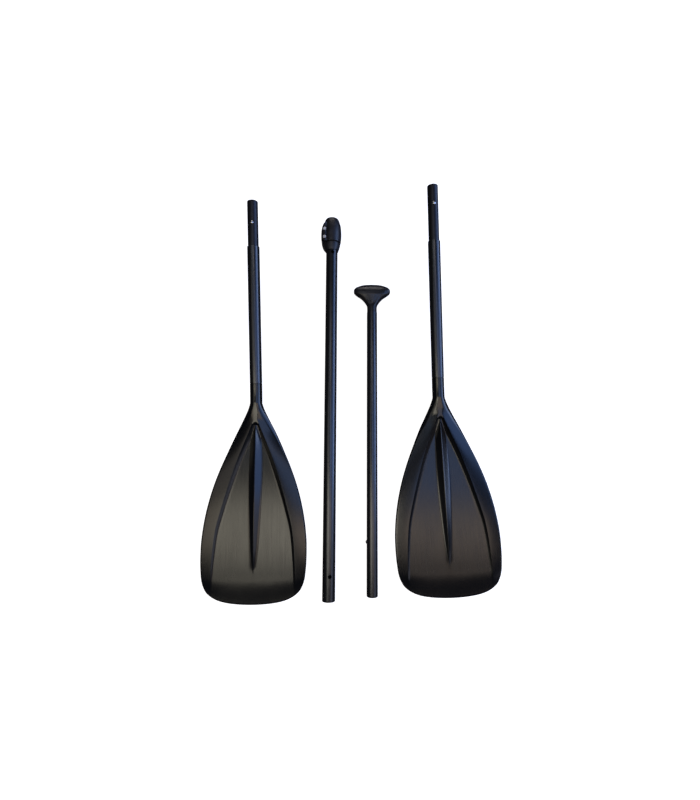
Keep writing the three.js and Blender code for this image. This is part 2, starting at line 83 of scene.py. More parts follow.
# ------------------------------------------------------------------ sizes, in millimetres

TUBE_R = 13.0  # outer tubes
TUBE_BORE_R = 11.5
INNER_R = 11.3  # ferrules and the T-grip's tube
INNER_BORE_R = 10.0
FIT = 0.2  # radial gap of glued and plugged pieces
GAP = 0.3  # gap between pieces that turn or slide on each other
SEAM = 0.15  # gap left where a plug's head meets its tube's end
EDGE = 0.35  # chamfer on cut tube ends
HOLE_R = 4.0
BUTTON_R = HOLE_R - GAP

FACETS = 96  # round a tube
FINE_FACETS = 64  # round a bolt, nut, barrel or hole
ON_AXIS = 1e-6  # a profile corner with a smaller radius lies on the axis

BLADE_LENGTH = 411.5  # tip to the start of the socket
BLADE_CANT = math.radians(12)
BEND_LENGTH = 60.0  # half before the socket's start and half beyond it
SOCKET_LENGTH = 42.5
SPIGOT_LENGTH = 50.0
TIP_BOW = 12.0  # how far a gentle curve sets the tip's corners back
TIP_CORNER = 12.0  # and how far their rounding does
TIP_REACH = 85.0  # the tip's curve is felt this far up the blade

# ------------------------------------------------------------------ section frames


def upright_basis(along):
    """Rotation whose Y is `along` and whose X is level."""
    y = Vector(along).normalized()
    x = y.cross(UP).normalized()
    return Matrix((x, y, x.cross(y))).transposed()


def extent(node, basis):
    """Lowest and highest corner of a CAD node in a rotated basis, in metres."""
    turned = np.array([v.co for v in frame["nodes"][node].data.vertices]) @ np.array(basis)
    return Vector(turned.min(0)), Vector(turned.max(0))


def shaft_frame(node, along):
    """Frame on a tube's centre line, with its origin at the tube's lower end."""
    basis = upright_basis(along)
    low, high = extent(node, basis)
    origin = basis @ Vector(((low.x + high.x) / 2, low.y, (low.z + high.z) / 2))
    return Matrix.Translation(origin) @ basis.to_4x4()


def floor_frame(node, along):
    """Frame on the floor, with its origin under the middle of a blade's tip."""
    basis = upright_basis((along[0], along[1], 0))
    low, high = extent(node, basis)
    origin = basis @ Vector(((low.x + high.x) / 2, low.y, low.z))
    return Matrix.Translation(origin) @ basis.to_4x4()


def local_extent(node, place):
    """Lowest and highest corner of a CAD node in a section's frame, in millimetres."""
    points = np.array([v.co for v in frame["nodes"][node].data.vertices])
    inverse = np.array(place.inverted())
    local = (points @ inverse[:3, :3].T + inverse[:3, 3]) / MM
    return Vector(local.min(0)), Vector(local.max(0))


# ------------------------------------------------------------------ mesh helpers


def smooth(t):
    """Eases from 0 to 1 as t does."""
    t = np.clip(t, 0.0, 1.0)
    return t * t * (3 - 2 * t)


def mix(a, b, t):
    """The value a share t of the way from a to b."""
    return a + (b - a) * t


def curve(pairs):
    """A smooth reading of a few [position, value] pairs: monotone cubic, so it never overshoots."""
    x, y = np.array(pairs, float).T
    slope = np.diff(y) / np.diff(x)
    tangent = np.concatenate([[slope[0]], (slope[1:] + slope[:-1]) / 2, [slope[-1]]])
    tangent[1:-1][slope[1:] * slope[:-1] <= 0] = 0
    for i, k in enumerate(slope):
        if k == 0:
            tangent[i] = tangent[i + 1] = 0
            continue
        length = math.hypot(tangent[i] / k, tangent[i + 1] / k)
        if length > 3:
            tangent[i] *= 3 / length
            tangent[i + 1] *= 3 / length

    def read(at):
        at = np.clip(np.asarray(at, float), x[0], x[-1])
        i = np.clip(np.searchsorted(x, at, side="right") - 1, 0, len(x) - 2)
        h = x[i + 1] - x[i]
        t = (at - x[i]) / h
        return (
            (1 + 2 * t) * (1 - t) ** 2 * y[i]
            + t * (1 - t) ** 2 * h * tangent[i]
            + t * t * (3 - 2 * t) * y[i + 1]
            + t * t * (t - 1) * h * tangent[i + 1]
        )

    return read


def mesh_from(points, faces):
    """Mesh data from points in millimetres."""
    mesh = bpy.data.meshes.new("shape")
    mesh.from_pydata([tuple(p) for p in np.asarray(points, float) * MM], [], faces)
    return mesh


def outward(mesh, weld=0.0):
    """Mesh data with its faces turned outward, after points within weld millimetres are merged."""
    body = bmesh.new()
    body.from_mesh(mesh)
    if weld:
        bmesh.ops.remove_doubles(body, verts=body.verts, dist=weld * MM)
    bmesh.ops.recalc_face_normals(body, faces=body.faces)
    body.to_mesh(mesh)
    body.free()
    return mesh


def rings(loops):
    """Closed body through a row of closed loops, with a flat polygon on each end."""
    loops = np.asarray(loops, float)
    rows, columns = loops.shape[:2]
    faces = []
    for start in range(0, (rows - 1) * columns, columns):
        for c in range(columns):
            a, b = start + c, start + (c + 1) % columns
            faces.append((a, b, b + columns, a + columns))
    faces.append(tuple(reversed(range(columns))))
    faces.append(tuple(range((rows - 1) * columns, rows * columns)))
    return mesh_from(loops.reshape(-1, 3), faces)


def lathe(profile, facets=FACETS):
    """Revolves closed or axis-to-axis [radius, height] corners round Y."""
    angle = np.arange(facets) / facets * 2 * math.pi
    body = bmesh.new()
    columns = []
    for r, y in profile:
        if r < ON_AXIS:
            columns.append([body.verts.new((0, y * MM, 0))] * facets)
        else:
            ring = [(r * math.sin(a) * MM, y * MM, r * math.cos(a) * MM) for a in angle]
            columns.append([body.verts.new(p) for p in ring])
    closed = profile[0][0] > ON_AXIS
    for k in range(len(columns) if closed else len(columns) - 1):
        low, high = columns[k], columns[(k + 1) % len(columns)]
        for i in range(facets):
            j = (i + 1) % facets
            corners = list(dict.fromkeys([low[i], low[j], high[j], high[i]]))
            if len(corners) > 2:
                body.faces.new(corners)
    bmesh.ops.recalc_face_normals(body, faces=body.faces)
    mesh = bpy.data.meshes.new("turned")
    body.to_mesh(mesh)
    body.free()
    return mesh


def pipe(outer, bore, low, high):
    """A pipe round Y with chamfered ends."""
    foot = [(bore, low + EDGE), (bore + EDGE, low), (outer - EDGE, low), (outer, low + EDGE)]
    head = [(outer, high - EDGE), (outer - EDGE, high), (bore + EDGE, high), (bore, high - EDGE)]
    return lathe([*foot, *head])


def rod(radius, low, high, facets=FACETS):
    """A solid rod round Y. Six facets make a hexagon."""
    return lathe([(0, low), (radius, low), (radius, high), (0, high)], facets)


def prism(outline, low, high):
    """Extrudes an X-Z outline from low to high along Y."""
    count = len(outline)
    points = [(x, y, z) for y in (low, high) for x, z in outline]
    faces = [(i, (i + 1) % count, (i + 1) % count + count, i + count) for i in range(count)]
    faces += [tuple(reversed(range(count))), tuple(range(count, 2 * count))]
    return outward(mesh_from(points, faces))


def wedge(first, last, radius, low, high):
    """Sector of a disc round Y between two angles from +X towards +Z, in degrees."""
    angles = np.radians(np.linspace(first, last, 24))
    outline = [(0, 0)] + [(radius * math.cos(a), radius * math.sin(a)) for a in angles]
    return prism(outline, low, high)


def block(low, high):
    """A plain box between two corners: only ever a cutter."""
    x0, y0, z0 = low
    x1, y1, z1 = high
    corners = [(x, y, z) for x in (x0, x1) for y in (y0, y1) for z in (z0, z1)]
    faces = [(0, 1, 3, 2), (4, 6, 7, 5), (0, 4, 5, 1), (2, 3, 7, 6), (0, 2, 6, 4), (1, 5, 7, 3)]
    return mesh_from(corners, faces)


def placed(mesh, x=0.0, y=0.0, z=0.0, turn=None):
    """Moves mesh data, after an optional rotation."""
    if turn is not None:
        mesh.transform(turn)
    mesh.transform(Matrix.Translation(Vector((x, y, z)) * MM))
    return mesh


TO_Z = Matrix.Rotation(math.pi / 2, 4, "X")  # takes +Y to +Z


def boolean(mesh, cutter, operation="DIFFERENCE"):
    """Mesh data after a boolean with another."""
    objects = [bpy.data.objects.new(name, data) for name, data in (("body", mesh), ("cutter", cutter))]
    for obj in objects:
        bpy.context.scene.collection.objects.link(obj)
    modifier = objects[0].modifiers.new("cut", "BOOLEAN")
    modifier.operation = operation
    modifier.solver = "EXACT"
    modifier.object = objects[1]
    made = bpy.data.meshes.new_from_object(objects[0].evaluated_get(bpy.context.evaluated_depsgraph_get()))
    for obj in objects:
        bpy.data.objects.remove(obj)
    return made


def cut(mesh, cutters):
    """Mesh data after several cutters, one after another."""
    for cutter in cutters:
        mesh = boolean(mesh, cutter)
    return mesh


def moulded(mesh, voxel, passes):
    """Mesh data with its edges rounded, as a moulded part's are."""
    obj = bpy.data.objects.new("rounding", mesh)
    bpy.context.scene.collection.objects.link(obj)
    remesh = obj.modifiers.new("remesh", "REMESH")
    remesh.mode = "VOXEL"
    remesh.voxel_size = voxel * MM
    soften = obj.modifiers.new("soften", "SMOOTH")
    soften.factor = 0.5
    soften.iterations = passes
    made = bpy.data.meshes.new_from_object(obj.evaluated_get(bpy.context.evaluated_depsgraph_get()))
    bpy.data.objects.remove(obj)
    return made


# ------------------------------------------------------------------ materials


def new_material(name, base, roughness, metallic=0.0):
    """A plain material: returns it with its node tree and its Principled shader."""
    material = bpy.data.materials.new(name)
    material.use_nodes = True
    tree = material.node_tree
    shader = tree.nodes["Principled BSDF"]
    shader.inputs["Base Color"].default_value = (*base, 1)
    shader.inputs["Roughness"].default_value = roughness
    shader.inputs["Metallic"].default_value = metallic
    return material, tree, shader


def noise(tree, stretch, detail):
    """Noise over object coordinates: stretch is its grain per metre along X, Y and Z."""
    coordinates = tree.nodes.new("ShaderNodeTexCoord")
    mapping = tree.nodes.new("ShaderNodeMapping")
    mapping.inputs["Scale"].default_value = stretch
    texture = tree.nodes.new("ShaderNodeTexNoise")
    texture.inputs["Scale"].default_value = 1.0
    texture.inputs["Detail"].default_value = detail
    tree.links.new(coordinates.outputs["Object"], mapping.inputs["Vector"])
    tree.links.new(mapping.outputs["Vector"], texture.inputs["Vector"])
    return texture.outputs["Fac"]


def spread(tree, value, source, target):
    """Maps a value from one range to another, clamped."""
    node = tree.nodes.new("ShaderNodeMapRange")
    for key, number in zip(("From Min", "From Max", "To Min", "To Max"), (*source, *target)):
        node.inputs[key].default_value = number
    tree.links.new(value, node.inputs["Value"])
    return node.outputs["Result"]


def math_node(tree, operation, a, b):
    """A Math node on two values, each a number or another node's output."""
    node = tree.nodes.new("ShaderNodeMath")
    node.operation = operation
    for socket, value in zip(node.inputs, (a, b)):
        if isinstance(value, (int, float)):
            socket.default_value = value
        else:
            tree.links.new(value, socket)
    return node.outputs[0]


def tint(tree, value, dark, light):
    """A colour between two, by a value from 0 to 1."""
    node = tree.nodes.new("ShaderNodeMix")
    node.data_type = "RGBA"
    colours = [s for s in node.inputs if s.type == "RGBA"]
    colours[0].default_value = (*dark, 1)
    colours[1].default_value = (*light, 1)
    tree.links.new(value, node.inputs["Factor"])
    return [s for s in node.outputs if s.type == "RGBA"][0]


def bump(tree, shader, height, distance, strength=1.0):
    """Drives the shader's normal by a height, over a distance in millimetres."""
    node = tree.nodes.new("ShaderNodeBump")
    node.inputs["Distance"].default_value = distance * MM
    node.inputs["Strength"].default_value = strength
    tree.links.new(height, node.inputs["Height"])
    tree.links.new(node.outputs["Normal"], shader.inputs["Normal"])


WHOLE = (0, 1)
MIDDLE = (0.3, 0.7)  # most of a noise's values lie between these


def blade_plastic():
    """Satin black moulding. Its panel has fine lengthwise striations; bands and neck are smoother."""
    material, tree, shader = new_material("blade_plastic", (0.012, 0.013, 0.016), 0.4)
    panel = tree.nodes.new("ShaderNodeAttribute")
    panel.attribute_name = "panel"
    panel = panel.outputs["Fac"]
    fine = noise(tree, (1500, 14, 400), 4)
    broad = noise(tree, (320, 5, 100), 3)
    grain = noise(tree, (1400, 1400, 1400), 2)
    patch = noise(tree, (18, 9, 18), 2)
    fine_part = math_node(tree, "MULTIPLY", fine, 0.7)
    broad_part = math_node(tree, "MULTIPLY", broad, 0.3)
    lines = math_node(tree, "MULTIPLY", math_node(tree, "ADD", fine_part, broad_part), panel)
    colour = tint(tree, spread(tree, lines, MIDDLE, WHOLE), (0.003, 0.0034, 0.0045), (0.0085, 0.0082, 0.0075))
    tree.links.new(colour, shader.inputs["Base Color"])
    lined = spread(tree, lines, MIDDLE, (0.18, 0.27))
    rubbed = spread(tree, patch, MIDDLE, (0, 0.04))
    tree.links.new(math_node(tree, "ADD", lined, rubbed), shader.inputs["Roughness"])
    height = math_node(tree, "ADD", lines, math_node(tree, "MULTIPLY", grain, 0.25))
    bump(tree, shader, height, 0.05, 0.65)
    return material


def anodised(name, dark, light, roughness):
    """Black anodised tube, with faint draw lines along it."""
    material, tree, shader = new_material(name, dark, roughness, 0.92)
    lines = noise(tree, (1100, 4, 1100), 3)
    patch = noise(tree, (30, 8, 30), 2)
    colour = tint(tree, spread(tree, lines, (0.35, 0.65), WHOLE), dark, light)
    tree.links.new(colour, shader.inputs["Base Color"])
    drawn = spread(tree, lines, MIDDLE, (roughness - 0.03, roughness + 0.03))
    rubbed = spread(tree, patch, MIDDLE, (0, 0.05))
    tree.links.new(math_node(tree, "ADD", drawn, rubbed), shader.inputs["Roughness"])
    bump(tree, shader, lines, 0.012, 0.4)
    return material


def grained_plastic(name, base, roughness, grain_per_metre, depth):
    """Moulded plastic with an even fine texture, a little paler where it is rubbed."""
    material, tree, shader = new_material(name, base, roughness)
    grain = noise(tree, (grain_per_metre,) * 3, 2)
    patch = noise(tree, (60, 60, 60), 3)
    pale = tuple(c * 1.7 + 0.003 for c in base)
    colour = tint(tree, spread(tree, patch, (0.4, 0.75), WHOLE), base, pale)
    tree.links.new(colour, shader.inputs["Base Color"])
    rubbed = spread(tree, patch, MIDDLE, (roughness - 0.04, roughness + 0.05))
    tree.links.new(rubbed, shader.inputs["Roughness"])
    bump(tree, shader, grain, depth, 0.6)
    return material


def steel(name, base, roughness, metallic=1.0):
    """Steel with fine turning marks."""
    material, tree, shader = new_material(name, base, roughness, metallic)
    marks = noise(tree, (2500, 300, 2500), 2)
    turned = spread(tree, marks, MIDDLE, (roughness - 0.05, roughness + 0.1))
    tree.links.new(turned, shader.inputs["Roughness"])
    dull = tuple(c * 0.75 for c in base)
    colour = tint(tree, spread(tree, marks, (0.3, 0.8), WHOLE), base, dull)
    tree.links.new(colour, shader.inputs["Base Color"])
    bump(tree, shader, marks, 0.01, 0.3)
    return material


def foam():
    """Closed-cell foam: pale, dry, with small cells and painted shade in their hollows."""
    material, tree, shader = new_material("foam", (0.7, 0.68, 0.62), 0.9)
    cells = tree.nodes.new("ShaderNodeTexVoronoi")
    cells.inputs["Scale"].default_value = 900
    coordinates = tree.nodes.new("ShaderNodeTexCoord")
    tree.links.new(coordinates.outputs["Object"], cells.inputs["Vector"])
    depth = cells.outputs["Distance"]
    # Each cell's colour is painted darker towards its sunk middle: painted shade in the cells' hollows.
    colour = tint(tree, spread(tree, depth, (0, 0.7), WHOLE), (0.5, 0.48, 0.43), (0.74, 0.72, 0.66))
    tree.links.new(colour, shader.inputs["Base Color"])
    bump(tree, shader, depth, 0.2)
    return material


FINISH = {
    "blade_plastic": blade_plastic(),
    "anodised_tube": anodised("anodised_tube", (0.055, 0.058, 0.065), (0.075, 0.077, 0.082), 0.25),
    "anodised_ferrule": anodised("anodised_ferrule", (0.032, 0.033, 0.04), (0.045, 0.046, 0.052), 0.4),
    "clamp_plastic": grained_plastic("clamp_plastic", (0.009, 0.009, 0.012), 0.38, 2200, 0.03),
    "grip_plastic": grained_plastic("grip_plastic", (0.012, 0.012, 0.013), 0.3, 1200, 0.015),
    "plug_plastic": grained_plastic("plug_plastic", (0.01, 0.01, 0.011), 0.5, 1500, 0.03),
    "button_steel": steel("button_steel", (0.72, 0.73, 0.75), 0.16),
    # A steel with a darker base colour, used for the handle's button.
    "dark_steel": steel("dark_steel", (0.1, 0.1, 0.11), 0.3),
    "fastener_steel": steel("fastener_steel", (0.85, 0.85, 0.86), 0.4, 0.5),
    "spring_steel": steel("spring_steel", (0.45, 0.46, 0.48), 0.3),
    "foam": foam(),
}


def piece(node, mesh, place, body, slot, finish=None, sharp=35):
    """The piece that replaces a CAD node: smooth shaded, in its section's frame, riding on its body.

    The finish is the slot's own unless another is named; edges sharper than `sharp` degrees stay crisp.
    """
    name = f"{node}_fine"
    mesh.name = name
    mesh.polygons.foreach_set("use_smooth", [True] * len(mesh.polygons))
    mesh.set_sharp_from_angle(angle=math.radians(sharp))
    mesh.materials.clear()
    mesh.materials.append(FINISH[finish or slot])
    obj = bpy.data.objects.new(name, mesh)
    bpy.context.scene.collection.objects.link(obj)
    obj.matrix_world = place
    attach(obj, body)
    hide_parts(node)


# ------------------------------------------------------------------ blade

# Each curve reads a size or a height by s, the distance from the tip.
HALF_WIDTH = curve(
    [(0, 60), (24, 94), (34, 100.6), (47, 105.2), (66, 107.8), (86, 109.2), (112, 109.5), (145, 107.4)]
    + [(185, 101.4), (227, 91.2), (268, 77.3), (310, 59.7), (332, 50), (354, 39.5), (366, 33.2), (377, 27.7)]
    + [(390, 21.2), (399, 17.2), (406, 14.7), (BLADE_LENGTH, TUBE_R)]
)
PANEL_HALF_WIDTH = curve(
    [(0, 85.5), (33, 86), (91, 84.5), (148, 79), (172, 73.5), (235, 56), (293, 37), (349, 14.3), (375, 3.6)]
)
SPINE_HALF_WIDTH = curve(
    [(0, 0.5), (60, 0.5), (83, 3.6), (114, 6.3), (146, 8.3), (208, 11.6), (270, 13.1), (303, 12.7)]
    + [(333, 10.8), (355, 7.2), (369, 3)]
)
SPINE_RISE = curve(
    [(0, 0), (58, 0), (83, 1.8), (113, 3.8), (168, 6.2), (233, 8.4), (303, 9.4), (338, 8.6), (369, 4.6)]
)
PANEL_HEIGHT = curve(
    [(0, 3.2), (24, 4.0), (60, 4.5), (200, 5.0), (303, 5.3), (348, 6.8), (369, 9.5), (BLADE_LENGTH, 18)]
)
BAND_RISE = curve(
    [(0, 0.2), (24, 0.7), (40, 1.4), (110, 3.2), (200, 4.8), (303, 7.0), (348, 8.6), (369, 9.3)]
    + [(BLADE_LENGTH, 8)]
)
RIM_HEIGHT = curve(
    [(0, 2.6), (24, 3.4), (60, 4.6), (110, 5.4), (200, 6.0), (303, 5.8), (338, 6.4), (355, 8), (369, 11)]
    + [(383, 15), (395, 20), (BLADE_LENGTH, 26)]
)
EDGE_ROUND = curve(
    [(0, 1.8), (60, 2.6), (293, 2.8), (338, 6), (355, 9.5), (369, 12), (383, 14.2), (395, 14.6)]
    + [(BLADE_LENGTH, TUBE_R)]
)
EDGE_LEVEL = curve(  # height of the outline's widest point
    [(0, 1.3), (60, 1.8), (293, 2.0), (338, 2.8), (355, 4.4), (369, 6.6), (383, 9), (395, 11)]
    + [(BLADE_LENGTH, TUBE_R)]
)
STEP_WIDTH = curve(  # slope from a band down to the panel
    [(0, 4), (60, 4.5), (110, 5.5), (200, 7), (303, 9), (BLADE_LENGTH, 9)]
)

TIP_THICKNESS = 2.6
TIP_BEVEL = 48.0  # the tip thins towards its edge over this length
ARCH_R = 5.5  # the panel's rounded head
ARCH_AT = 364.0
ARCH_SLOPE = math.atan(0.405)  # of the panel's sides where the head takes over
SPINE_END = 369.0
NECK_BLEND = 30.0  # the bands turn into the round neck over this length past the spine
NECK_AT = 380.0  # the panel's crease fades out from here on
PANEL_SAG = 0.9  # how far the panel dips in the middle
SAG_END, SAG_EASE = 360.0, 60.0  # the dip ends here, and eases in and out over this length
TEXTURE_FROM, TEXTURE_EASE = 8.0, 50.0  # the panel's striations fade in from here over this length
PANEL_SHARE = 0.9  # most of the half-width that the panel may take
RIDGE_BLUNT = 0.0012  # rounds the spine's ridge
RIDGE_TOP = 1.03
RIDGE_POWER = 1.05
BAND_POWER = 1.15  # how a band climbs to its rim
STEP_POWER = 1.3  # and how the step climbs from the panel
CREASE_TOP = 0.4  # the step starts this far outside the panel's outline
WELD = 0.002  # points of the blade closer than this are merged


def panel_distance(s, x):
    """Signed distance from the panel's outline: negative inside it."""
    x = np.abs(x)
    slope = PANEL_HALF_WIDTH(s - 0.5) - PANEL_HALF_WIDTH(s + 0.5)
    side = (x - PANEL_HALF_WIDTH(s)) / np.sqrt(1 + slope**2)
    head = np.hypot(x, s - ARCH_AT) - ARCH_R
    past = (s - ARCH_AT) * math.cos(ARCH_SLOPE) > x * math.sin(ARCH_SLOPE)
    return np.where(past, head, side)


def blade_top(s, x, half):
    """Height of the blade's upper face at s from the tip and x across, and how much of it is panel."""
    share = np.abs(x) / half
    band_height = PANEL_HEIGHT(s) + BAND_RISE(s)
    inner = np.minimum(PANEL_HALF_WIDTH(s), half * PANEL_SHARE)
    across = np.clip((np.abs(x) - inner) / np.maximum(half - inner, 1), 0, 1)
    band = mix(band_height, RIM_HEIGHT(s), across**BAND_POWER)
    neck = mix(band_height, RIM_HEIGHT(s), share**2)
    crown = mix(band, neck, smooth((s - SPINE_END) / NECK_BLEND))
    spine = np.maximum(SPINE_HALF_WIDTH(s), 0.5)
    ridge = np.maximum(0, RIDGE_TOP - np.sqrt((x / spine) ** 2 + RIDGE_BLUNT)) ** RIDGE_POWER
    sag = PANEL_SAG * (1 - share**2) * smooth(s / SAG_EASE) * smooth((SAG_END - s) / SAG_EASE)
    panel = PANEL_HEIGHT(s) + SPINE_RISE(s) * ridge - sag
    outside = panel_distance(s, x)
    step = np.clip(1 + (outside - CREASE_TOP) / STEP_WIDTH(s), 0, 1) ** STEP_POWER
    textured = smooth(-outside) * smooth((np.abs(x) - spine) / 2)
    return mix(panel, crown, step), textured * smooth((s - TEXTURE_FROM) / TEXTURE_EASE)


def bend(points):
    """The straight blade bent up by the cant at its neck. points hold x, y from the socket's start, z."""
    x, y, z = points[..., 0], points[..., 1], points[..., 2]
    radius = BEND_LENGTH / BLADE_CANT
    start = -BEND_LENGTH / 2
    angle = np.clip((y - start) / radius, 0, BLADE_CANT)
    before = np.minimum(0, y - start)
    beyond = np.maximum(0, y - start - BEND_LENGTH)
    arm = radius - (z - TUBE_R)
    along = start + before + arm * np.sin(angle) + beyond * np.cos(angle)
    height = TUBE_R + radius - arm * np.cos(angle) + beyond * np.sin(angle)
    return np.stack([x, along, height], -1)


def tip_curve(u):
    """How far back the tip lies at a share of the half-width."""
    return TIP_BOW * u**2 + TIP_CORNER * u**6


def blade_columns(s, half):
    """Where the mesh's columns run across the right half at one station, from the ridge to the edge."""
    widest = half * 0.62 if s > NECK_AT else half - 8
    crease = min(max(float(PANEL_HALF_WIDTH(s)), 3.0), widest)
    inner = max(crease - float(STEP_WIDTH(s)), crease * 0.45)
    foot = min(max(float(SPINE_HALF_WIDTH(s)), 1.5), inner * 0.8)
    edge = min(float(EDGE_ROUND(s)), (half - crease) * 0.7)
    spans = [  # from, to, and how many columns
        (0, foot * 0.12, 3),
        (foot * 0.12, foot, 9),
        (foot, inner, 10),
        (inner, crease - 0.6, 8),
        (crease - 0.6, crease + 0.8, 4),
        (crease + 0.8, half - edge, 10),
    ]
    columns = [mix(a, b, i / n) for a, b, n in spans for i in range(n)]
    turn = [half - edge + edge * math.sin(math.pi / 2 * i / 10) for i in range(11)]
    return np.array(columns + turn)


# The mesh's stations from the tip, closest where the outline or the relief turns fastest.
STATIONS = np.concatenate(
    [
        [0, 0.25, 0.7, 1.4, 2.4, 4, 6, 9, 12, 15, 18, 21, 24, 27, 31, 36],
        np.arange(42, 330, 4.0),
        np.arange(330, 350, 2.5),
        np.arange(350, 372, 1.0),
        np.arange(372, BLADE_LENGTH, 3.0),
        [BLADE_LENGTH],
    ]
)
# Radius and distance from the socket's start: the socket outside, its mouth, and the spigot in the tube.
SPIGOT_R = TUBE_BORE_R - FIT
SOCKET_PROFILE = [(TUBE_R, y) for y in (3.0, 8.0, 13.0, 18.0, 24.0, 30.0)] + [
    (TUBE_R, SOCKET_LENGTH - 0.4),
    (TUBE_R - 0.4, SOCKET_LENGTH),
    (SPIGOT_R, SOCKET_LENGTH),
    (SPIGOT_R, SOCKET_LENGTH + SPIGOT_LENGTH - 1),
    (SPIGOT_R - 1, SOCKET_LENGTH + SPIGOT_LENGTH),
]


def blade_ring(s):
    """One ring round the blade, s from the tip, and how much of it is panel at each point."""
    tip = max(0.0, 1 - s / TIP_REACH) ** 1.6
    half = float(HALF_WIDTH(s + tip_curve(1.0) * tip))
    right = blade_columns(s, half)
    x = np.concatenate([-right[:0:-1], right])
    back = tip_curve(np.abs(x / half)) * tip
    top, panel = blade_top(np.full_like(x, s), x, half)
    top = mix(np.minimum(top, TIP_THICKNESS), top, smooth((s + 2) / TIP_BEVEL))
    level, radius = float(EDGE_LEVEL(s)), float(EDGE_ROUND(s))
    inset = half - np.abs(x)
    if s < 3:
        inset = np.minimum(inset, s)
    fullness = np.sqrt(np.clip(1 - (1 - np.clip(inset / radius, 0, 1)) ** 2, 0, 1))
    y = s + back - BLADE_LENGTH
    upper = np.stack([x, y, level + (top - level) * fullness], -1)
    lower = np.stack([x, y, level - level * fullness], -1)
    return np.concatenate([upper, lower[::-1][1:-1]]), np.concatenate([panel, np.zeros(len(x) - 2)])


def blade_mesh():
    """The blade as rings round it from the tip to the end of its spigot, in the floor frame (Y is s)."""
    loops, panels = (list(column) for column in zip(*map(blade_ring, STATIONS)))
    neck = loops[-1]
    angle = np.arctan2(neck[:, 0], neck[:, 2] - TUBE_R)
    for radius, y in SOCKET_PROFILE:
        ring = [radius * np.sin(angle), np.full(len(neck), y), TUBE_R + radius * np.cos(angle)]
        loops.append(np.stack(ring, -1))
        panels.append(np.zeros(len(neck)))
    points = bend(np.array(loops))
    points[..., 1] += BLADE_LENGTH
    mesh = rings(points)
    mesh.attributes.new("panel", "FLOAT", "POINT").data.foreach_set("value", np.concatenate(panels))
    return outward(mesh, WELD)


# ------------------------------------------------------------------ tubes, buttons and plugs

DRILL_REACH = TUBE_R + 6
BUTTON_DOME = 2.6
BUTTON_FLANGE = (0.9, 0.8)  # how far it stands out, and its thickness
PLUG_DEPTH = 22.0
# A plug's head, from its rim to its centre: inset from the tube's radius, and height above the tube's end.
HEAD_PROFILE = [(0.25, SEAM), (0, 0.4), (0, 1.3), (0.5, 2.1), (1.5, 2.65), (4, 2.9)]
HEAD_HEIGHT = 3.0


def drill(at, roll=0.0):
    """Cutter for a button hole in the upper wall at `at` along the tube, rolled round it."""
    cutter = rod(HOLE_R, 0, DRILL_REACH, FINE_FACETS)
    return placed(cutter, 0, at, 0, Matrix.Rotation(roll, 4, "Y") @ TO_Z)


def button_mesh(low, crown):
    """Snap button: flanged foot, straight sides and a polished dome. Its axis is +Z."""
    flange, thick = BUTTON_FLANGE
    turns = np.linspace(0, math.pi / 2, 14)
    dome = [(BUTTON_R * math.cos(a), crown - BUTTON_DOME + BUTTON_DOME * math.sin(a)) for a in turns]
    dome[-1] = (0, crown)
    foot = [(0, low), (BUTTON_R + flange, low), (BUTTON_R + flange, low + thick), (BUTTON_R, low + thick)]
    mesh = lathe([*foot, *dome], 48)
    mesh.transform(TO_Z)
    return mesh


def cap_mesh(mouth):
    """End plug of an inner tube: a chamfered, slightly domed head, and the spigot inside."""
    spigot = INNER_BORE_R - FIT
    head = [(INNER_R - inset, mouth + height) for inset, height in HEAD_PROFILE]
    foot = [(0, mouth - PLUG_DEPTH), (spigot, mouth - PLUG_DEPTH), (spigot, mouth + SEAM)]
    return lathe([*foot, *head, (0, mouth + HEAD_HEIGHT)])


def blade_section(side):
    """Blade, blade tube, ferrule, its cap and its button."""
    along = JOINTS[f"{side}_section_slide"]["axis"]
    floor = floor_frame(f"{side}_blade", along)
    shaft = shaft_frame(f"{side}_blade_tube", along)
    tube_low, tube_high = local_extent(f"{side}_blade_tube", shaft)
    ferrule_low, ferrule_high = local_extent(f"{side}_ferrule", shaft)
    button_low, button_high = local_extent(f"{side}_button", shaft)
    button_at = (button_low.y + button_high.y) / 2

    def make(name, mesh, place, slot):
        piece(f"{side}_{name}", mesh, place, f"{side}_section", slot)

    make("blade", blade_mesh(), floor, "blade_plastic")
    make("blade_tube", pipe(TUBE_R, TUBE_BORE_R, tube_low.y, tube_high.y), shaft, "anodised_tube")
    ferrule = boolean(pipe(INNER_R, INNER_BORE_R, ferrule_low.y, ferrule_high.y), drill(button_at))
    make("ferrule", ferrule, shaft, "anodised_ferrule")
    make("ferrule_cap", cap_mesh(ferrule_high.y), shaft, "plug_plastic")
    button = placed(button_mesh(button_low.z, button_high.z), 0, button_at, 0)
    piece(f"{side}_button", button, shaft, f"{side}_snap", "button_steel")


# ------------------------------------------------------------------ middle section and its clamp

# Distances along the middle tube from its open end.
COLLAR_BOTTOM, COLLAR_TOP = 754.0, 832.6
SKIRT_TOP = 771.0
POCKET = (773.0, 819.6)  # span of the collar that the lever wraps
POCKET_R = 17.3
COLLAR_R = 19.0
SEAT_AT, SEAT_R = 824.5, 13.3  # recess that a blade tube's end seats in
HOLES_AT = (48.2, 747.5)  # in the middle tube
HOLE_ROLL = math.radians(11)
STOP_AT = SKIRT_TOP - 0.7  # the collar's stop for the middle tube's end
CUTTERS = (700.0, 900.0)  # the clamp's long cutters run between these, past both its ends
WIDE = 40.0  # and this far out
EAR_REACH = 30.0  # cutters for the ears and barrel run this far out
BOLT_REACH = 20.0  # and those for the bolts this far up and down
COLLAR_FACETS = 160
LEVER_FACETS = 200
DRILL_FACETS = 32

